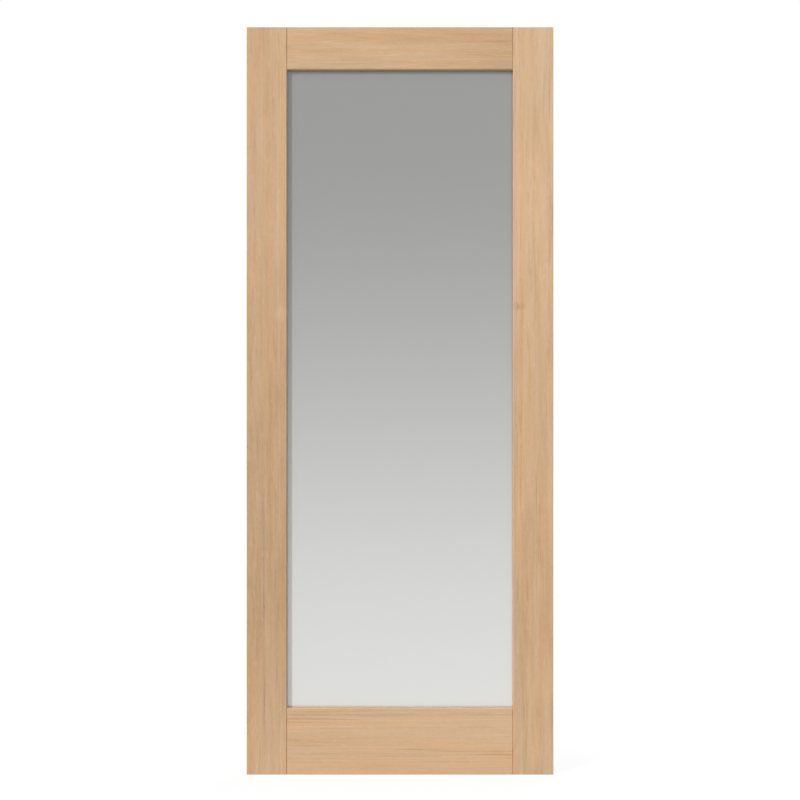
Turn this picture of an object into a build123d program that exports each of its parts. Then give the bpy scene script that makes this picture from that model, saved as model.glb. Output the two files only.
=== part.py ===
from build123d import *
import os

# An interior door leaf with one full-height light. Its two stiles and two rails are cores, lipped
# with solid oak and faced with thick oak veneer. One pane of safety glass lies on tape in a rebate,
# and four mitred beads hold it there from the back.
#
# The front of the leaf faces -Y. X runs from the hinge edge at 0 to the lock edge, Z runs up from the
# foot of the leaf, and Y is 0 in the middle of the thickness.

# The leaf and its four framing members
leaf_width = 813.0
leaf_height = 1981.0
leaf_thickness = 35.0
stile_width = 107.0
top_rail_depth = 112.0
bottom_rail_depth = 176.0

# How each member is made up round its core. The veneer is thick enough to take the arrises.
veneer_thickness = 2.5
edge_lipping_width = 10.0
lipping_behind_rebate = 12.0

# Arrises: fine ones round the outline of the leaf, and larger ones on its sight edges and on the
# shoulders of the joints, where two of them make a shallow V
outline_arris = 1.0
joint_arris = 2.0

# The rebate that the glass drops into from the back
rebate_width = 12.0
lip_thickness = 13.5

# Glass, tape and beads
glass_thickness = 6.0
glass_edge_gap = 3.0
glass_arris = 0.5
tape_thickness = 1.0
tape_setback = 2.0
bead_arris = 1.0

# Levels through the thickness, from the front face to the back face
front_face = -leaf_thickness / 2
back_face = leaf_thickness / 2
front_glue_line = front_face + veneer_thickness
back_glue_line = back_face - veneer_thickness
lip_back = front_face + lip_thickness
glass_front = lip_back + tape_thickness
glass_back = glass_front + glass_thickness
bead_front = glass_back + tape_thickness
bead_back = back_face - joint_arris

# Lines across the leaf: the opening that is seen from the front, and the rebate behind it
opening_left = stile_width
opening_right = leaf_width - stile_width
opening_foot = bottom_rail_depth
opening_head = leaf_height - top_rail_depth
rebate_left = opening_left - rebate_width
rebate_right = opening_right + rebate_width
rebate_foot = opening_foot - rebate_width
rebate_head = opening_head + rebate_width
rebate_wide = rebate_right - rebate_left
rebate_high = rebate_head - rebate_foot
rebate_centre_x = (rebate_left + rebate_right) / 2
rebate_centre_z = (rebate_foot + rebate_head) / 2

# Cuts that part the layers of a member, each facing along the axis it is named for
front_glue_plane = Plane(origin=(0, front_glue_line, 0), z_dir=(0, 1, 0))
back_glue_plane = Plane(origin=(0, back_glue_line, 0), z_dir=(0, 1, 0))
stile_edge_plane = Plane(origin=(edge_lipping_width, 0, 0), z_dir=(1, 0, 0))
stile_opening_plane = Plane(origin=(rebate_left - lipping_behind_rebate, 0, 0), z_dir=(1, 0, 0))
top_opening_plane = Plane(origin=(0, 0, rebate_head + lipping_behind_rebate), z_dir=(0, 0, 1))
bottom_opening_plane = Plane(origin=(0, 0, rebate_foot - lipping_behind_rebate), z_dir=(0, 0, 1))
leaf_centre_plane = Plane(origin=(leaf_width / 2, 0, 0), z_dir=(1, 0, 0))

between_veneers = ((front_glue_plane, Keep.TOP), (back_glue_plane, Keep.BOTTOM))

# An edge nearer than this to the outline of the leaf lies on it
outline_margin = 0.001


def upright_plane(y):
    """A sketch plane across the leaf at depth y: its x runs with the leaf's X, its y runs up, and it
    is extruded towards the back by a negative amount."""
    return Plane(origin=(0, y, 0), x_dir=(1, 0, 0), z_dir=(0, -1, 0))


def face_edges(member):
    """The edges round the front face and round the back face of a member."""
    by_depth = member.faces().sort_by(Axis.Y)
    return by_depth[0].edges() + by_depth[-1].edges()


def on_outline(edge):
    """True for an edge that lies on the outline of the leaf, seen from the front."""
    middle = edge.center()
    return min(middle.X, leaf_width - middle.X, middle.Z, leaf_height - middle.Z) < outline_margin


def ease_edges(member):
    """Takes the arrises off both faces of a member: those inside the leaf first."""
    chamfer(face_edges(member).filter_by(lambda edge: not on_outline(edge)), joint_arris)
    chamfer(face_edges(member).filter_by(on_outline), outline_arris)


def stile_blank():
    """The left stile as one piece: full height, with the rebate down the back of its inner edge."""
    with BuildPart() as blank:
        with BuildSketch(Plane.XY):
            with BuildLine():
                Polyline(
                    (0, front_face),
                    (opening_left, front_face),
                    (opening_left, lip_back),
                    (rebate_left, lip_back),
                    (rebate_left, back_face),
                    (0, back_face),
                    close=True,
                )
            make_face()
        extrude(amount=leaf_height)
        ease_edges(blank)
    return blank.part


def rail_blank(opening_line, rebate_line, outer_line):
    """A rail as one piece. Its short shoulders meet the lips of the stiles at the front, and its
    long shoulders reach over the rebates of the stiles at the back."""
    align = (Align.MIN, Align.MIN)
    with BuildPart() as blank:
        with BuildSketch(upright_plane(front_face)):
            with Locations((opening_left, min(opening_line, outer_line))):
                Rectangle(opening_right - opening_left, abs(outer_line - opening_line), align=align)
        extrude(amount=-lip_thickness)
        with BuildSketch(upright_plane(lip_back)):
            with Locations((rebate_left, min(rebate_line, outer_line))):
                Rectangle(rebate_wide, abs(outer_line - rebate_line), align=align)
        extrude(amount=-(leaf_thickness - lip_thickness))
        ease_edges(blank)
    return blank.part


def layer(blank, *cuts):
    """What is left of a blank on the kept side of each cut."""
    with BuildPart() as piece:
        add(blank)
        for plane, keep in cuts:
            split(bisect_by=plane, keep=keep)
    return piece


def rail_layers(blank, opening_plane, opening_side, outer_side):
    """The four pieces of a rail, cut from its blank."""
    return {
        "front_veneer": layer(blank, (front_glue_plane, Keep.BOTTOM)),
        "back_veneer": layer(blank, (back_glue_plane, Keep.TOP)),
        "opening_lipping": layer(blank, *between_veneers, (opening_plane, opening_side)),
        "core": layer(blank, *between_veneers, (opening_plane, outer_side)),
    }


pieces = {}

# The stiles: each is a core with a thin lipping to the leaf's edge, a deep one that carries the
# rebate, and a veneer over each face
left_blank = stile_blank()
left_stile = {
    "front_veneer": layer(left_blank, (front_glue_plane, Keep.BOTTOM)),
    "back_veneer": layer(left_blank, (back_glue_plane, Keep.TOP)),
    "edge_lipping": layer(left_blank, *between_veneers, (stile_edge_plane, Keep.BOTTOM)),
    "core": layer(
        left_blank,
        *between_veneers,
        (stile_edge_plane, Keep.TOP),
        (stile_opening_plane, Keep.BOTTOM),
    ),
    "opening_lipping": layer(left_blank, *between_veneers, (stile_opening_plane, Keep.TOP)),
}
for layer_name, left_piece in left_stile.items():
    with BuildPart() as right_piece:
        mirror(left_piece.part, about=leaf_centre_plane)
    pieces[f"left_stile_{layer_name}"] = left_piece
    pieces[f"right_stile_{layer_name}"] = right_piece

# The rails, between the stiles
top_rail = rail_layers(
    rail_blank(opening_head, rebate_head, leaf_height), top_opening_plane, Keep.BOTTOM, Keep.TOP
)
bottom_rail = rail_layers(
    rail_blank(opening_foot, rebate_foot, 0), bottom_opening_plane, Keep.TOP, Keep.BOTTOM
)
for layer_name in top_rail:
    pieces[f"top_rail_{layer_name}"] = top_rail[layer_name]
    pieces[f"bottom_rail_{layer_name}"] = bottom_rail[layer_name]

# The pane, clear of the rebate all round, with its edges dubbed
glass_wide = rebate_wide - 2 * glass_edge_gap
glass_high = rebate_high - 2 * glass_edge_gap
with BuildPart() as glass_pane:
    with BuildSketch(upright_plane(glass_front)):
        with Locations((rebate_centre_x, rebate_centre_z)):
            Rectangle(glass_wide, glass_high)
    extrude(amount=-glass_thickness)
    chamfer(face_edges(glass_pane), glass_arris)
pieces["glass_pane"] = glass_pane

# Bedding tape on both faces of the pane: the uprights run through, the others fit between them
tape_width = rebate_width - glass_edge_gap - tape_setback
tape_from_centre_x = (glass_wide - tape_width) / 2
tape_from_centre_z = (glass_high - tape_width) / 2
tape_runs = {
    "left": (-tape_from_centre_x, 0, tape_width, glass_high),
    "right": (tape_from_centre_x, 0, tape_width, glass_high),
    "top": (0, tape_from_centre_z, glass_wide - 2 * tape_width, tape_width),
    "bottom": (0, -tape_from_centre_z, glass_wide - 2 * tape_width, tape_width),
}
for side, level in (("front", lip_back), ("back", glass_back)):
    for run, (across, up, wide, high) in tape_runs.items():
        with BuildPart() as tape:
            with BuildSketch(upright_plane(level)):
                with Locations((rebate_centre_x + across, rebate_centre_z + up)):
                    Rectangle(wide, high)
            extrude(amount=-tape_thickness)
        pieces[f"{side}_tape_{run}"] = tape

# Glazing beads: each lies along one wall of the rebate, mitred to its neighbours, level with the
# foot of the arris there, and with an arris on its own sight edge. A bead's plane has x along the
# wall and y towards the middle of the opening.
bead_depth = bead_back - bead_front
bead_walls = {
    "bottom": ((rebate_centre_x, rebate_foot), (1, 0, 0), rebate_wide),
    "top": ((rebate_centre_x, rebate_head), (-1, 0, 0), rebate_wide),
    "left": ((rebate_left, rebate_centre_z), (0, 0, -1), rebate_high),
    "right": ((rebate_right, rebate_centre_z), (0, 0, 1), rebate_high),
}
for run, ((wall_x, wall_z), along, length) in bead_walls.items():
    bead_plane = Plane(origin=(wall_x, bead_back, wall_z), x_dir=along, z_dir=(0, -1, 0))
    sight_edge_way = Axis((0, 0, 0), bead_plane.y_dir - bead_plane.z_dir)
    with BuildPart() as bead:
        with BuildSketch(bead_plane):
            Trapezoid(length, rebate_width, 45, align=(Align.CENTER, Align.MIN))
        extrude(amount=bead_depth)
        chamfer(bead.edges().sort_by(sight_edge_way)[-1], bead_arris)
    pieces[f"glazing_bead_{run}"] = bead

os.makedirs("parts", exist_ok=True)
for name, piece in pieces.items():
    piece.part.label = name
    export_step(piece.part, f"parts/{name}.step")
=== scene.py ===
import math
import random

import bpy
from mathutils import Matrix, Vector


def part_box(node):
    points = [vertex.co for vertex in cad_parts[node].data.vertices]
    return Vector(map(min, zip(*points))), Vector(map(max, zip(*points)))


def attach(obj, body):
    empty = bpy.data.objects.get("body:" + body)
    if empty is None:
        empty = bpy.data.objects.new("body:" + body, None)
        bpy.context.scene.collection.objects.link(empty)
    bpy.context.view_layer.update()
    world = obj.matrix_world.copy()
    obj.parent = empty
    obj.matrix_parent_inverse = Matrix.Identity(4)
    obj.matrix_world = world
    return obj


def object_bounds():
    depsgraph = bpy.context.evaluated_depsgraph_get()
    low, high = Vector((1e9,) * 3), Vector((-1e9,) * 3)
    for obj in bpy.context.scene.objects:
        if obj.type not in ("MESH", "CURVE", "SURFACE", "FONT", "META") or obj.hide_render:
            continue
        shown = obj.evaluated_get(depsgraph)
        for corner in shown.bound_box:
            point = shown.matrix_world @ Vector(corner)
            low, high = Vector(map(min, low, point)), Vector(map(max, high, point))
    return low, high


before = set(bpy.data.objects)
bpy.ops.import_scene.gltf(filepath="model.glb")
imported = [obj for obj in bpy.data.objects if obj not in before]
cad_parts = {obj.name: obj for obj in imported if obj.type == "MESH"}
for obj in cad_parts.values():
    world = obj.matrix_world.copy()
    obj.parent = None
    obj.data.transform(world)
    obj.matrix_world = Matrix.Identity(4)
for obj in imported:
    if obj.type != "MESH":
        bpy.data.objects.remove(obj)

cadLow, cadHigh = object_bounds()  # the box of the leaf as it was built, before anything is added
leafMiddle = (cadLow + cadHigh) / 2
body = "root"
mm = 0.001


def colour(hexCode):
    # sRGB hex to the linear colour that a shader takes
    channels = [int(hexCode[i:i + 2], 16) / 255 for i in (1, 3, 5)]
    linear = [c / 12.92 if c <= 0.04045 else ((c + 0.055) / 1.055) ** 2.4 for c in channels]
    return (*linear, 1.0)


def addNode(tree, kind, inputs=None, **settings):
    # an input is given a value, the socket it is linked to, or the node whose first output it takes
    node = tree.nodes.new(kind)
    for name, value in settings.items():
        setattr(node, name, value)
    for name, value in (inputs or {}).items():
        if isinstance(value, bpy.types.Node):
            value = value.outputs[0]
        if isinstance(value, bpy.types.NodeSocket):
            tree.links.new(value, node.inputs[name])
        else:
            node.inputs[name].default_value = value
    return node


def startMaterial(name):
    material = bpy.data.materials.new(name)
    material.use_nodes = True
    material.node_tree.nodes.clear()
    return material, material.node_tree


def fillRamp(node, stops):
    # stops: (position, hex colour or grey level)
    ramp = node.color_ramp
    while len(ramp.elements) < len(stops):
        ramp.elements.new(1.0)
    for element, (position, value) in zip(ramp.elements, stops):
        element.position = position
        element.color = colour(value) if isinstance(value, str) else (value, value, value, 1.0)


# Wood. Every pattern is worked out in millimetres round the heart of the tree, with the grain along the
# third axis, so the same rings run over a face, round an arris and across the end grain.
turns = {"upright": (0.0, 0.0, 0.0), "level": (0.0, -math.pi / 2, 0.0)}
endFacing = (0.6, 0.95)  # how far a surface faces along the grain where end grain starts and where it is full


def placeOnBoard(tree, runs, centre):
    # the place on the solid, and the same in millimetres from the middle of the piece
    place = addNode(tree, "ShaderNodeTexCoord")
    fromMiddle = addNode(tree, "ShaderNodeVectorMath", {
        0: place.outputs["Object"], 1: tuple(centre)}, operation="SUBTRACT")
    board = addNode(tree, "ShaderNodeMapping", {
        "Vector": fromMiddle, "Rotation": turns[runs], "Scale": (1 / mm, 1 / mm, 1 / mm)})
    return place, board


def darkenEnds(tree, place, runs, tint, share):
    facing = addNode(tree, "ShaderNodeMapping", {"Vector": place.outputs["Normal"], "Rotation": turns[runs]})
    facingParts = addNode(tree, "ShaderNodeSeparateXYZ", {0: facing})
    endOn = addNode(tree, "ShaderNodeMath", {0: facingParts.outputs["Z"]}, operation="ABSOLUTE")
    shade = addNode(tree, "ShaderNodeMapRange", {
        "Value": endOn, "From Min": endFacing[0], "From Max": endFacing[1], "To Min": 1.0, "To Max": share})
    return addNode(tree, "ShaderNodeVectorMath", {0: tint, "Scale": shade}, operation="SCALE")


# White oak, sliced straight and lacquered satin: quiet parallel lines, slim darker streaks, short dark pores
oak = {
    "tree": 900.0,                   # mm from the middle of the tree, within which pieces are cut
    "stops": [(0.0, "#8b6c49"), (0.25, "#b3906a"), (0.5, "#cca882"), (0.75, "#dfbc97"), (1.0, "#ecd1b1")],
    "level": 0.53,                   # tone of the piece as a whole, from 0, the darkest line, to 1, the palest
    "alongTone": [(0.0, 0.5), (1.0, 0.5)],  # tone from the foot or left end to the other, 0.5 for none
    "heart": (-340.0, 90.0),         # mm across and into the leaf, from the middle of the piece to the heart
    "lean": (0.0, 0.35),             # degrees by which the heart leans from the length of the piece
    "ringWidth": 3.2,                # mm
    "rings": -0.06,                  # what the early wood of a ring adds to the tone
    "earlyWood": (0.55, 0.05),       # where in a ring the early wood starts to show and where it is full
    "betweenClusters": 0.3,          # share of the rings that shows where there are no streaks
    "years": (0.13, 5.0),            # how often wide and narrow years change, and by how many rings
    "bands": 0.07,                   # how far whole rings differ
    "bandChange": 0.6,               # how often they do
    "wander": (150.0, 900.0, 9.0),   # the lines drift: mm across, mm along, mm of drift
    "ripple": (16.0, 380.0, 0.9),
    "patches": (36.0, 230.0, 0.24),  # mm across, mm along, what it adds to the tone
    "fibres": (3.0, 80.0, 0.10),
    "streaks": (5.5, 110.0, -0.15),
    "clusters": (24.0, 350.0, 0.0),  # where the streaks gather
    "pores": (0.8, 14.0, -0.11),     # real ones are 0.3 mm wide: drawn coarser, so that they show
    "lateWoodPores": 0.4,            # share of the pores that shows outside the early wood
    "flecks": (2.0, 24.0, 0.07),     # rays cut lengthways show as short pale dashes
    "cast": (14.0, 700.0, 0.005),    # mm across, mm along, drift of the hue between pink and yellow
    "redDepth": 0.06,                # how much fuller the pink parts are than the yellow
    "depth": (20.0, 400.0, 0.05),    # mm across, mm along, drift of how full the colour is
    "marks": [],                     # mm from the middle, mm in size, what each adds, and mm it pushes the lines
    "endGrain": 0.80,                # sawn ends drink more lacquer and are darker
    "roughness": (0.50, 0.38),       # of the darkest and the palest wood
    "ior": 1.5,                      # lacquer
    "relief": 0.05,                  # mm from the surface to the floor of a pore
    "ragged": 0.55,                  # how rough the edges of every pattern are
}
# how each pattern is cut from soft noise: where it starts, where it is full, and the detail of the noise
patternCuts = {
    "patches": (0.0, 1.0, 2.0),
    "fibres": (0.0, 1.0, 2.0),
    "streaks": (0.48, 0.72, 2.0),
    "clusters": (0.42, 0.62, 2.0),
    "pores": (0.56, 0.70, 0.0),
    "flecks": (0.62, 0.78, 0.0),
    "cast": (0.3, 0.7, 2.0),
    "depth": (0.3, 0.7, 2.0),
}


def makeWood(name, runs, centre, length, **changes):
    look = {**oak, **changes}
    material, tree = startMaterial(name)
    chance = random.Random(look["seed"])
    inTree = Vector([chance.uniform(-look["tree"], look["tree"]) for axis in "xyz"])  # where the piece lies
    place, board = placeOnBoard(tree, runs, centre)
    lines = addNode(tree, "ShaderNodeVectorMath", {0: board, 1: tuple(inTree)}, operation="ADD")

    # the lines drift slowly, ripple a little and are pushed aside by marks
    for wave in ("wander", "ripple"):
        across, along, drift = look[wave]
        drawnOut = addNode(tree, "ShaderNodeMapping", {
            "Vector": lines, "Scale": (1 / across, 1 / across, 1 / along)})
        noise = addNode(tree, "ShaderNodeTexNoise", {
            "Vector": drawnOut, "Scale": 1.0, "Roughness": look["ragged"]})
        lines = addNode(tree, "ShaderNodeVectorMath", {
            0: noise.outputs["Color"], 1: (drift, drift, 0.0), 2: lines}, operation="MULTIPLY_ADD")
    parts = []  # (source, what it adds to the tone)
    for mark in look["marks"]:
        near = addNode(tree, "ShaderNodeMapping", {
            "Vector": board, "Scale": (1 / mark["wide"], 0.0, 1 / mark["long"]),
            "Location": (-mark["across"] / mark["wide"], 0.0, -mark["along"] / mark["long"])})
        far = addNode(tree, "ShaderNodeVectorMath", {0: near}, operation="LENGTH")
        shape = addNode(tree, "ShaderNodeMapRange", {
            "Value": far.outputs["Value"], "From Min": 1.0, "From Max": 0.0}, interpolation_type="SMOOTHSTEP")
        lines = addNode(tree, "ShaderNodeVectorMath", {
            0: shape, 1: (mark["push"], 0.0, 0.0), 2: lines}, operation="MULTIPLY_ADD")
        parts.append((shape, mark["tone"]))

    # rings round the heart, which leans a little from the board, some years wide and some narrow
    fromHeart = addNode(tree, "ShaderNodeVectorMath", {
        0: lines, 1: tuple(inTree + Vector((*look["heart"], 0.0)))}, operation="SUBTRACT")
    upright = addNode(tree, "ShaderNodeMapping", {
        "Vector": fromHeart, "Rotation": (*(math.radians(angle) for angle in look["lean"]), 0.0)})
    flat = addNode(tree, "ShaderNodeVectorMath", {0: upright, 1: (1.0, 1.0, 0.0)}, operation="MULTIPLY")
    radius = addNode(tree, "ShaderNodeVectorMath", {0: flat}, operation="LENGTH")
    rings = addNode(tree, "ShaderNodeMath", {
        0: radius.outputs["Value"], 1: look["ringWidth"]}, operation="DIVIDE")
    often, shift = look["years"]
    years = addNode(tree, "ShaderNodeTexNoise", {"W": rings, "Scale": often, "Detail": 1.0}, noise_dimensions="1D")
    uneven = addNode(tree, "ShaderNodeMath", {0: years, 1: shift, 2: rings}, operation="MULTIPLY_ADD")
    inRing = addNode(tree, "ShaderNodeMath", {0: uneven}, operation="FRACT")
    shows, full = look["earlyWood"]
    earlyWood = addNode(tree, "ShaderNodeMapRange", {
        "Value": inRing, "From Min": shows, "From Max": full}, interpolation_type="SMOOTHSTEP")
    bands = addNode(tree, "ShaderNodeTexNoise", {"W": rings, "Scale": look["bandChange"]}, noise_dimensions="1D")

    patterns = {}
    for pattern, (start, full, detail) in patternCuts.items():
        across, along, strength = look[pattern]
        drawnOut = addNode(tree, "ShaderNodeMapping", {
            "Vector": lines, "Scale": (1 / across, 1 / across, 1 / along)})
        noise = addNode(tree, "ShaderNodeTexNoise", {
            "Vector": drawnOut, "Scale": 1.0, "Detail": detail, "Roughness": look["ragged"]})
        patterns[pattern] = addNode(tree, "ShaderNodeMapRange", {
            "Value": noise, "From Min": start, "From Max": full}, interpolation_type="SMOOTHSTEP")

    # streaks and early wood come and go along the grain with the clusters, and pores lie thickest in early wood
    streaks = addNode(tree, "ShaderNodeMath", {
        0: patterns["streaks"], 1: patterns["clusters"]}, operation="MULTIPLY")
    least = look["betweenClusters"]
    ringShare = addNode(tree, "ShaderNodeMath", {
        0: patterns["clusters"], 1: 1.0 - least, 2: least}, operation="MULTIPLY_ADD")
    ringLines = addNode(tree, "ShaderNodeMath", {0: earlyWood, 1: ringShare}, operation="MULTIPLY")
    least = look["lateWoodPores"]
    poreShare = addNode(tree, "ShaderNodeMath", {0: earlyWood, 1: 1.0 - least, 2: least}, operation="MULTIPLY_ADD")
    pores = addNode(tree, "ShaderNodeMath", {0: patterns["pores"], 1: poreShare}, operation="MULTIPLY")

    boardParts = addNode(tree, "ShaderNodeSeparateXYZ", {0: board})
    alongShare = addNode(tree, "ShaderNodeMapRange", {
        "Value": boardParts.outputs["Z"], "From Min": -length / mm / 2, "From Max": length / mm / 2})
    alongTone = addNode(tree, "ShaderNodeValToRGB", {0: alongShare})
    alongTone.color_ramp.interpolation = "B_SPLINE"
    fillRamp(alongTone, look["alongTone"])

    # these are centred on 0.5 and change the tone both ways, and the rest start at 0
    evenParts = [
        (patterns["patches"], look["patches"][2]),
        (patterns["fibres"], look["fibres"][2]),
        (bands, look["bands"]),
        (alongTone, 1.0),
    ]
    parts += evenParts + [
        (streaks, look["streaks"][2]),
        (ringLines, look["rings"]),
        (pores, look["pores"][2]),
        (patterns["flecks"], look["flecks"][2]),
    ]
    tone = look["level"] - sum(strength for source, strength in evenParts) / 2
    for source, strength in parts:
        tone = addNode(tree, "ShaderNodeMath", {0: source, 1: strength, 2: tone}, operation="MULTIPLY_ADD")
    tint = addNode(tree, "ShaderNodeValToRGB", {0: tone})
    fillRamp(tint, look["stops"])
    cast = addNode(tree, "ShaderNodeMapRange", {
        "Value": patterns["cast"], "To Min": 0.5 - look["cast"][2], "To Max": 0.5 + look["cast"][2]})
    fullness = 1.0 + look["redDepth"] / 2
    depth = addNode(tree, "ShaderNodeMapRange", {
        "Value": patterns["depth"], "To Min": fullness - look["depth"][2], "To Max": fullness + look["depth"][2]})
    depth = addNode(tree, "ShaderNodeMath", {
        0: patterns["cast"], 1: -look["redDepth"], 2: depth}, operation="MULTIPLY_ADD")
    tinted = addNode(tree, "ShaderNodeHueSaturation", {"Hue": cast, "Saturation": depth, "Color": tint})
    shaded = darkenEnds(tree, place, runs, tinted, look["endGrain"])

    rough = addNode(tree, "ShaderNodeMapRange", {
        "Value": tone, "To Min": look["roughness"][0], "To Max": look["roughness"][1]})
    relief = addNode(tree, "ShaderNodeBump", {
        "Height": pores, "Strength": 1.0, "Distance": look["relief"] * mm}, invert=True)
    shader = addNode(tree, "ShaderNodeBsdfPrincipled", {
        "Base Color": shaded, "Roughness": rough, "Normal": relief, "IOR": look["ior"]})
    addNode(tree, "ShaderNodeOutputMaterial", {"Surface": shader})
    return material


def dress(node, material):
    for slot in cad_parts[node].material_slots:
        slot.material = material


def dressInWood(kind, node, **changes):
    low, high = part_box(node)
    runs = "upright" if high.z - low.z > high.x - low.x else "level"
    dress(node, makeWood(kind + "." + node, runs, (low + high) / 2, max(high - low), **changes))


# Each veneer is from its own flitch, and another seed gives another figure. The marks are small: a pale swirl
# and a dark fleck.
veneers = {
    "left_stile_front_veneer": {
        "seed": 152,
        "patches": (36.0, 230.0, 0.19),
        "streaks": (5.5, 110.0, -0.12),
        "cast": (12.0, 800.0, 0.004),
        "alongTone": [(0.0, 0.51), (0.12, 0.40), (0.30, 0.29), (0.55, 0.41), (0.85, 0.47), (1.0, 0.47)],
        "marks": [{"across": 37.0, "along": 232.0, "wide": 20.0, "long": 34.0, "tone": 0.13, "push": 5.0}],
    },
    "right_stile_front_veneer": {
        "seed": 217,
        "heart": (310.0, 70.0),
        "cast": (14.0, 800.0, 0.004),
        "alongTone": [(0.0, 0.50), (0.15, 0.42), (0.35, 0.45), (0.6, 0.53), (0.85, 0.58), (1.0, 0.58)],
        "marks": [{"across": -38.0, "along": 250.0, "wide": 26.0, "long": 16.0, "tone": -0.17, "push": -4.0}],
    },
    "top_rail_front_veneer": {
        "seed": 128,
        "heart": (-330.0, 120.0),
        "lean": (0.0, 1.2),
        "patches": (36.0, 230.0, 0.17),
        "fibres": (3.0, 80.0, 0.08),
        "streaks": (5.5, 110.0, -0.11),
        "flecks": (2.2, 34.0, 0.08),
        "cast": (14.0, 700.0, 0.0025),
        "alongTone": [(0.0, 0.51), (0.6, 0.49), (1.0, 0.42)],
    },
    "bottom_rail_front_veneer": {
        "seed": 390,
        "heart": (-420.0, 60.0),
        "wander": (150.0, 1500.0, 6.0),
        "patches": (40.0, 600.0, 0.12),
        "fibres": (3.2, 190.0, 0.13),
        "streaks": (4.4, 300.0, -0.19),
        "cast": (14.0, 900.0, 0.003),
        "alongTone": [(0.0, 0.54), (1.0, 0.55)],
    },
    "left_stile_back_veneer": {"seed": 6, "heart": (300.0, -80.0)},
    "right_stile_back_veneer": {"seed": 7, "heart": (-320.0, -70.0)},
    "top_rail_back_veneer": {"seed": 8, "heart": (300.0, -60.0), "lean": (0.0, 0.8)},
    "bottom_rail_back_veneer": {"seed": 9, "heart": (-260.0, -140.0), "lean": (0.0, 0.5)},
}
for node, changes in veneers.items():
    dressInWood("oakVeneer", node, **changes)
print("stage: veneers dressed")

# Solid oak is sawn, not sliced, so its lines are a little bolder. Each stick is cut from another place.
solidOak = {"ringWidth": 2.7, "rings": -0.12, "patches": (30.0, 600.0, 0.2)}
sticks = {"seed": 11, "heart": (60.0, 220.0), "level": (0.49, 0.58)}  # mm and tone: the least and the most
stickChance = random.Random(sticks["seed"])
for node in sorted(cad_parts):
    if "lipping" in node or "bead" in node:
        heart = [stickChance.uniform(*sticks["heart"]) * stickChance.choice((-1, 1)) for axis in "xy"]
        level = stickChance.uniform(*sticks["level"])
        dressInWood("solidOak", node, seed=stickChance.random(), heart=heart, level=level, **solidOak)
print("stage: lippings and beads dressed")


# Softwood staves glued side by side, finger-jointed end to end: pale, with wide gentle rings and thin glue lines
staves = {
    "seed": 3.0,
    "width": 30.0,                    # mm
    "length": 410.0,
    "stagger": 0.37,                  # lengths by which each stave is moved along from the one before
    "fingers": (3.5, 9.0),            # mm from tip to tip and from tip to root
    "ringWidth": 4.2,
    "spread": 90.0,                   # mm over which the hearts of the staves lie
    "wander": (60.0, 500.0, 9.0),     # mm across, mm along, mm of drift
    "early": ["#e2cba0", "#d9be90"],  # of the palest and the darkest stave
    "late": "#b98c58",
    "lateShare": [(0.0, 0.75), (0.06, 0.0), (0.45, 0.08), (0.92, 0.55), (1.0, 0.75)],  # from ring to ring
    "glue": (0.5, "#8a6a44"),         # mm and colour
    "endGrain": 0.80,
    "roughness": 0.62,
    "sheen": 0.3,                     # bare wood: about half the usual shine
}


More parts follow.
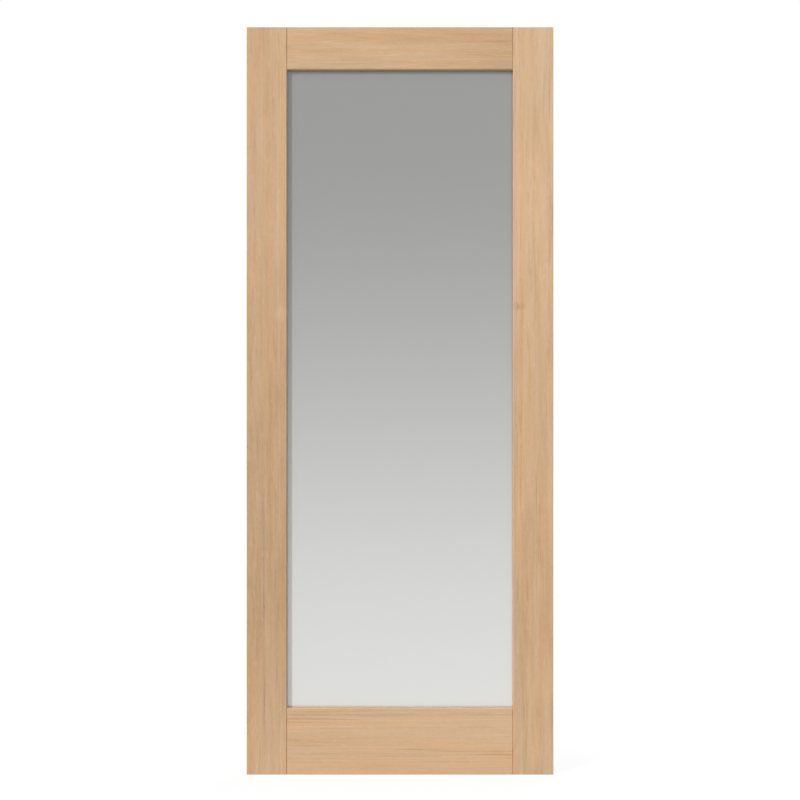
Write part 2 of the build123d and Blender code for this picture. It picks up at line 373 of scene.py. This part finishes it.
def makeStaves(name, runs, centre):
    material, tree = startMaterial(name)
    place, board = placeOnBoard(tree, runs, centre)
    boardParts = addNode(tree, "ShaderNodeSeparateXYZ", {0: board})

    # counted in staves across and in blocks along, where the fingers of one block reach into the next
    tip, root = staves["fingers"]
    across = addNode(tree, "ShaderNodeMath", {0: boardParts.outputs["X"], 1: staves["width"]}, operation="DIVIDE")
    stave = addNode(tree, "ShaderNodeMath", {0: across}, operation="FLOOR")
    zigzag = addNode(tree, "ShaderNodeMath", {0: boardParts.outputs["Y"], 1: tip / 2}, operation="PINGPONG")
    reach = addNode(tree, "ShaderNodeMath", {
        0: zigzag, 1: 2 * root / tip, 2: boardParts.outputs["Z"]}, operation="MULTIPLY_ADD")
    aligned = addNode(tree, "ShaderNodeMath", {0: reach, 1: staves["length"]}, operation="DIVIDE")
    along = addNode(tree, "ShaderNodeMath", {0: stave, 1: staves["stagger"], 2: aligned}, operation="MULTIPLY_ADD")
    block = addNode(tree, "ShaderNodeMath", {0: along}, operation="FLOOR")
    which = addNode(tree, "ShaderNodeCombineXYZ", {"X": stave, "Y": block, "Z": staves["seed"]})
    chance = addNode(tree, "ShaderNodeTexWhiteNoise", {"Vector": which})

    # each block has rings round a heart of its own
    wide, long, drift = staves["wander"]
    spread = (staves["spread"], staves["spread"], 0.0)
    heart = addNode(tree, "ShaderNodeVectorMath", {
        0: chance.outputs["Color"], 1: spread, 2: board}, operation="MULTIPLY_ADD")
    drawnOut = addNode(tree, "ShaderNodeMapping", {"Vector": board, "Scale": (1 / wide, 1 / wide, 1 / long)})
    wander = addNode(tree, "ShaderNodeTexNoise", {"Vector": drawnOut, "Scale": 1.0})
    bent = addNode(tree, "ShaderNodeVectorMath", {
        0: wander.outputs["Color"], 1: (drift, drift, 0.0), 2: heart}, operation="MULTIPLY_ADD")
    flat = addNode(tree, "ShaderNodeVectorMath", {0: bent, 1: (1.0, 1.0, 0.0)}, operation="MULTIPLY")
    radius = addNode(tree, "ShaderNodeVectorMath", {0: flat}, operation="LENGTH")
    rings = addNode(tree, "ShaderNodeMath", {
        0: radius.outputs["Value"], 1: staves["ringWidth"]}, operation="DIVIDE")
    inRing = addNode(tree, "ShaderNodeMath", {0: rings}, operation="FRACT")
    late = addNode(tree, "ShaderNodeValToRGB", {0: inRing})
    fillRamp(late, staves["lateShare"])
    early = addNode(tree, "ShaderNodeValToRGB", {0: chance})
    fillRamp(early, [(0.0, staves["early"][0]), (1.0, staves["early"][1])])
    ringed = addNode(tree, "ShaderNodeMix", {0: late, 6: early, 7: colour(staves["late"])}, data_type="RGBA")

    # a glue line shows where two staves or two blocks meet
    gaps = []
    for counted, size in ((across, staves["width"]), (along, staves["length"])):
        nearest = addNode(tree, "ShaderNodeMath", {0: counted}, operation="ROUND")
        apart = addNode(tree, "ShaderNodeMath", {0: counted, 1: nearest}, operation="SUBTRACT")
        scaled = addNode(tree, "ShaderNodeMath", {0: apart, 1: size}, operation="MULTIPLY")
        gaps.append(addNode(tree, "ShaderNodeMath", {0: scaled}, operation="ABSOLUTE"))
    glueWidth, glueColour = staves["glue"]
    nearer = addNode(tree, "ShaderNodeMath", {0: gaps[0], 1: gaps[1]}, operation="MINIMUM")
    glueLine = addNode(tree, "ShaderNodeMath", {0: nearer, 1: glueWidth / 2}, operation="LESS_THAN")
    glued = addNode(tree, "ShaderNodeMix", {
        0: glueLine, 6: ringed.outputs[2], 7: colour(glueColour)}, data_type="RGBA")

    shaded = darkenEnds(tree, place, runs, glued.outputs[2], staves["endGrain"])
    shader = addNode(tree, "ShaderNodeBsdfPrincipled", {
        "Base Color": shaded, "Roughness": staves["roughness"], "Specular IOR Level": staves["sheen"]})
    addNode(tree, "ShaderNodeOutputMaterial", {"Surface": shader})
    return material


for node in sorted(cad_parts):
    if "core" in node:
        low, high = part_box(node)
        runs = "upright" if "stile" in node else "level"
        dress(node, makeStaves("softwoodStaves." + node, runs, (low + high) / 2))
print("stage: cores dressed")


# Toughened safety glass, satin on its face: a grey body with painted shade over it, pale at the foot and darker
# towards the head, standing in for the reflection of a darker studio above
glass = {
    "pale": "#dedfdd",
    "deep": "#979896",
    "fade": (-0.10, 0.93),     # where the painted shade starts and ends, from 0 at the foot of the pane to 1 at its head
    "transmission": 0.25,      # share of the light that goes through
    "roughness": 0.28,
    "ior": 1.52,
}


def makeGlass(name):
    material, tree = startMaterial(name)
    place = addNode(tree, "ShaderNodeTexCoord")
    split = addNode(tree, "ShaderNodeSeparateXYZ", {0: place.outputs["Object"]})
    low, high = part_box("glass_pane")
    ends = [low.z + (high.z - low.z) * share for share in glass["fade"]]
    share = addNode(tree, "ShaderNodeMapRange", {
        "Value": split.outputs["Z"], "From Min": ends[0], "From Max": ends[1]}, interpolation_type="SMOOTHSTEP")
    # painted reflection: the ramp darkens the pane from the pale foot to the painted shade at the head
    tint = addNode(tree, "ShaderNodeValToRGB", {0: share})
    fillRamp(tint, [(0.0, glass["pale"]), (1.0, glass["deep"])])
    inside = addNode(tree, "ShaderNodeNewGeometry")  # light that is in the pane already meets no more satin
    clear = addNode(tree, "ShaderNodeMath", {
        0: inside.outputs["Backfacing"], 1: glass["transmission"]}, operation="MAXIMUM")
    shader = addNode(tree, "ShaderNodeBsdfPrincipled", {
        "Base Color": tint.outputs["Color"], "Roughness": glass["roughness"],
        "Transmission Weight": clear, "IOR": glass["ior"]})
    addNode(tree, "ShaderNodeOutputMaterial", {"Surface": shader})
    return material


dress("glass_pane", makeGlass("satinGlass"))


# Closed-cell foam tape: matt, with fine specks
foam = {"cell": 0.8, "stops": [(0.3, "#8c8c89"), (0.7, "#a6a6a3")], "roughness": 0.85}


def makeTape(name):
    material, tree = startMaterial(name)
    place = addNode(tree, "ShaderNodeTexCoord")
    cells = addNode(tree, "ShaderNodeTexNoise", {
        "Vector": place.outputs["Object"], "Scale": 1 / (foam["cell"] * mm)})
    tint = addNode(tree, "ShaderNodeValToRGB", {0: cells.outputs["Fac"]})
    fillRamp(tint, foam["stops"])
    shader = addNode(tree, "ShaderNodeBsdfPrincipled", {
        "Base Color": tint.outputs["Color"], "Roughness": foam["roughness"]})
    addNode(tree, "ShaderNodeOutputMaterial", {"Surface": shader})
    return material


foamTape = makeTape("foamTape")
for node in sorted(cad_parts):
    if "tape" in node:
        dress(node, foamTape)
print("stage: glass and tape dressed")


# Pins hold the beads: a row of small domed heads down the middle of each bead's back face
pins = {
    "spacing": 150.0,     # mm, about: each row is shared out evenly
    "fromEnd": 45.0,      # mm from the heel of a mitre to the first pin
    "headRadius": 1.25,
    "headHeight": 0.4,
    "facets": 14,
    "colour": "#b8a07a",
    "dent": 0.6,          # mm across
    "roughness": (0.28, 0.42),
}


# Brass-plated steel: a soft yellow metal gleam, a little uneven from the hammer
def makeBrass(name):
    material, tree = startMaterial(name)
    place = addNode(tree, "ShaderNodeTexCoord")
    dents = addNode(tree, "ShaderNodeTexNoise", {
        "Vector": place.outputs["Object"], "Scale": 1 / (pins["dent"] * mm)})
    rough = addNode(tree, "ShaderNodeMapRange", {
        "Value": dents.outputs["Fac"], "To Min": pins["roughness"][0], "To Max": pins["roughness"][1]})
    shader = addNode(tree, "ShaderNodeBsdfPrincipled", {
        "Base Color": colour(pins["colour"]), "Metallic": 1.0, "Roughness": rough})
    addNode(tree, "ShaderNodeOutputMaterial", {"Surface": shader})
    return material


def makePinTree(material):
    tree = bpy.data.node_groups.new("pinsAlongLines", "GeometryNodeTree")
    tree.interface.new_socket("Lines", in_out="INPUT", socket_type="NodeSocketGeometry")
    sizes = {}
    for label, size in (("Spacing", "spacing"), ("Head radius", "headRadius"), ("Head height", "headHeight")):
        socket = tree.interface.new_socket(label, in_out="INPUT", socket_type="NodeSocketFloat")
        sizes[socket.identifier] = pins[size] * mm
    tree.interface.new_socket("Heads", in_out="OUTPUT", socket_type="NodeSocketGeometry")
    given = addNode(tree, "NodeGroupInput")
    curves = addNode(tree, "GeometryNodeMeshToCurve", {"Mesh": given.outputs["Lines"]})
    places = addNode(tree, "GeometryNodeResampleCurve", {
        "Curve": curves.outputs[0], "Length": given.outputs["Spacing"]}, mode="LENGTH")
    ball = addNode(tree, "GeometryNodeMeshUVSphere", {
        "Segments": pins["facets"], "Rings": pins["facets"] // 2, "Radius": 1.0})
    flatten = addNode(tree, "ShaderNodeCombineXYZ", {
        "X": given.outputs["Head radius"], "Y": given.outputs["Head height"], "Z": given.outputs["Head radius"]})
    head = addNode(tree, "GeometryNodeTransform", {"Geometry": ball, "Scale": flatten})
    smooth = addNode(tree, "GeometryNodeSetShadeSmooth", {"Geometry": head})
    rows = addNode(tree, "GeometryNodeInstanceOnPoints", {"Points": places, "Instance": smooth})
    real = addNode(tree, "GeometryNodeRealizeInstances", {0: rows})
    done = addNode(tree, "GeometryNodeSetMaterial", {"Geometry": real, "Material": material})
    addNode(tree, "NodeGroupOutput", {"Heads": done})
    return tree, sizes


rowEnds = []
for run in ("left", "right", "top", "bottom"):
    low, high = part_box("glazing_bead_" + run)
    middle = (low + high) / 2
    axis = "z" if run in ("left", "right") else "x"
    for end, side in ((low, 1), (high, -1)):
        point = Vector((middle.x, high.y, middle.z))
        setattr(point, axis, getattr(end, axis) + side * pins["fromEnd"] * mm)
        rowEnds.append(point)
rowMesh = bpy.data.meshes.new("pinRows")
rowMesh.from_pydata(rowEnds, [(i, i + 1) for i in range(0, len(rowEnds), 2)], [])
rowObject = bpy.data.objects.new("pinRows", rowMesh)
bpy.context.scene.collection.objects.link(rowObject)
pinTree, pinSizes = makePinTree(makeBrass("brassPlate"))
modifier = rowObject.modifiers.new("pins", "NODES")
modifier.node_group = pinTree
for identifier, size in pinSizes.items():
    modifier[identifier] = size
evaluated = rowObject.evaluated_get(bpy.context.evaluated_depsgraph_get())
pinMesh = bpy.data.meshes.new_from_object(evaluated)
beadPins = bpy.data.objects.new("beadPins", pinMesh)
bpy.context.scene.collection.objects.link(beadPins)
bpy.data.objects.remove(rowObject)
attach(beadPins, body)
print("stage: bead pins,", len(pinMesh.polygons), "faces")


# Studio lights: the way each one travels, its strength, and its softness in degrees. The key light comes
# from the upper left, in front.
suns = {
    "keyLight": {"travels": (0.98, 1.0, -0.75), "strength": 2.0, "softness": 6.0},
    "rearLight": {"travels": (-0.6, -1.0, -0.35), "strength": 1.5, "softness": 25.0},
    "topLight": {"travels": (0.0, 0.3, -1.0), "strength": 0.55, "softness": 60.0},
}
for name, sun in suns.items():
    light = bpy.data.lights.new(name, "SUN")
    light.energy = sun["strength"]
    light.angle = math.radians(sun["softness"])
    lamp = bpy.data.objects.new(name, light)
    lamp.rotation_euler = Vector(sun["travels"]).to_track_quat("-Z", "Y").to_euler()
    bpy.context.scene.collection.objects.link(lamp)

# White ground and background to the camera, plain light for the leaf
studio = {
    "ambient": 0.47,             # strength of the even light from all round
    "background": "#ffffff",
    "floorColour": "#cecece",
    "floorSize": 30.0,           # m
    "floorGap": 0.5,             # mm under the foot of the leaf
    "floorGlow": 1.06,           # over 1, so that the ground stays white where it is mixed with the matt floor
    "shadowShare": 0.15,         # how much of the floor's real shading the camera sees near the foot
    "shadowReach": (0.05, 0.6),  # m from the leaf over which it fades away
}


def seenDirectly(tree):
    # 1 for what the camera sees, straight or by gloss or glass, and 0 for light on its way to a surface
    path = addNode(tree, "ShaderNodeLightPath")
    gloss = addNode(tree, "ShaderNodeMath", {
        0: path.outputs["Is Camera Ray"], 1: path.outputs["Is Glossy Ray"]}, operation="MAXIMUM")
    return addNode(tree, "ShaderNodeMath", {
        0: gloss, 1: path.outputs["Is Transmission Ray"]}, operation="MAXIMUM")


world = bpy.data.worlds.new("studioWorld")
world.use_nodes = True
world.node_tree.nodes.clear()
bpy.context.scene.world = world
white = colour(studio["background"])
tree = world.node_tree
ambient = addNode(tree, "ShaderNodeBackground", {"Color": white, "Strength": studio["ambient"]})
seen = addNode(tree, "ShaderNodeBackground", {"Color": white, "Strength": 1.0})
chosen = addNode(tree, "ShaderNodeMixShader", {0: seenDirectly(tree), 1: ambient, 2: seen})
addNode(tree, "ShaderNodeOutputWorld", {"Surface": chosen})

half = studio["floorSize"] / 2
floorMesh = bpy.data.meshes.new("floor")
floorCorners = [(-half, -half), (half, -half), (half, half), (-half, half)]
floorMesh.from_pydata([(x, y, 0.0) for x, y in floorCorners], [], [(0, 1, 2, 3)])
floor = bpy.data.objects.new("floor", floorMesh)
floor.location = (leafMiddle.x, leafMiddle.y, cadLow.z - studio["floorGap"] * mm)
bpy.context.scene.collection.objects.link(floor)
floorPaint, tree = startMaterial("paleFloor")
place = addNode(tree, "ShaderNodeTexCoord")
fromFoot = addNode(tree, "ShaderNodeVectorMath", {0: place.outputs["Object"]}, operation="ABSOLUTE")
pastEnds = addNode(tree, "ShaderNodeVectorMath", {
    0: fromFoot, 1: ((cadHigh.x - cadLow.x) / 2, 0.0, 0.0)}, operation="SUBTRACT")
outside = addNode(tree, "ShaderNodeVectorMath", {0: pastEnds, 1: (0.0, 0.0, 0.0)}, operation="MAXIMUM")
away = addNode(tree, "ShaderNodeVectorMath", {0: outside}, operation="LENGTH")
fade = addNode(tree, "ShaderNodeMapRange", {
    "Value": away.outputs["Value"], "From Min": studio["shadowReach"][0], "From Max": studio["shadowReach"][1],
    "To Min": 1.0 - studio["shadowShare"], "To Max": 1.0}, interpolation_type="SMOOTHSTEP")
matt = addNode(tree, "ShaderNodeBsdfDiffuse", {"Color": colour(studio["floorColour"])})
glow = addNode(tree, "ShaderNodeEmission", {"Color": white, "Strength": studio["floorGlow"]})
toCamera = addNode(tree, "ShaderNodeMixShader", {0: fade, 1: matt, 2: glow})
surface = addNode(tree, "ShaderNodeMixShader", {0: seenDirectly(tree), 1: matt, 2: toCamera})
addNode(tree, "ShaderNodeOutputMaterial", {"Surface": surface})
floorMesh.materials.append(floorPaint)

view = {
    "distance": 3.5,           # m from the front face
    "frameWidth": 2.120,       # m of the front face's plane that the 800 pixels take in
    "aboveMiddle": 0.0023,     # m from the middle of the leaf up to the camera
    "sensor": 36.0,            # mm
}
cameraData = bpy.data.cameras.new("photoCamera")
cameraData.sensor_width = view["sensor"]
cameraData.lens = view["sensor"] * view["distance"] / view["frameWidth"]
photoCamera = bpy.data.objects.new("photoCamera", cameraData)
photoCamera.location = (leafMiddle.x, cadLow.y - view["distance"], leafMiddle.z + view["aboveMiddle"])
photoCamera.rotation_euler = (math.pi / 2, 0.0, 0.0)
bpy.context.scene.collection.objects.link(photoCamera)
bpy.context.scene.camera = photoCamera
bpy.context.scene.view_settings.view_transform = "Standard"
print("stage: lights, floor and camera placed")
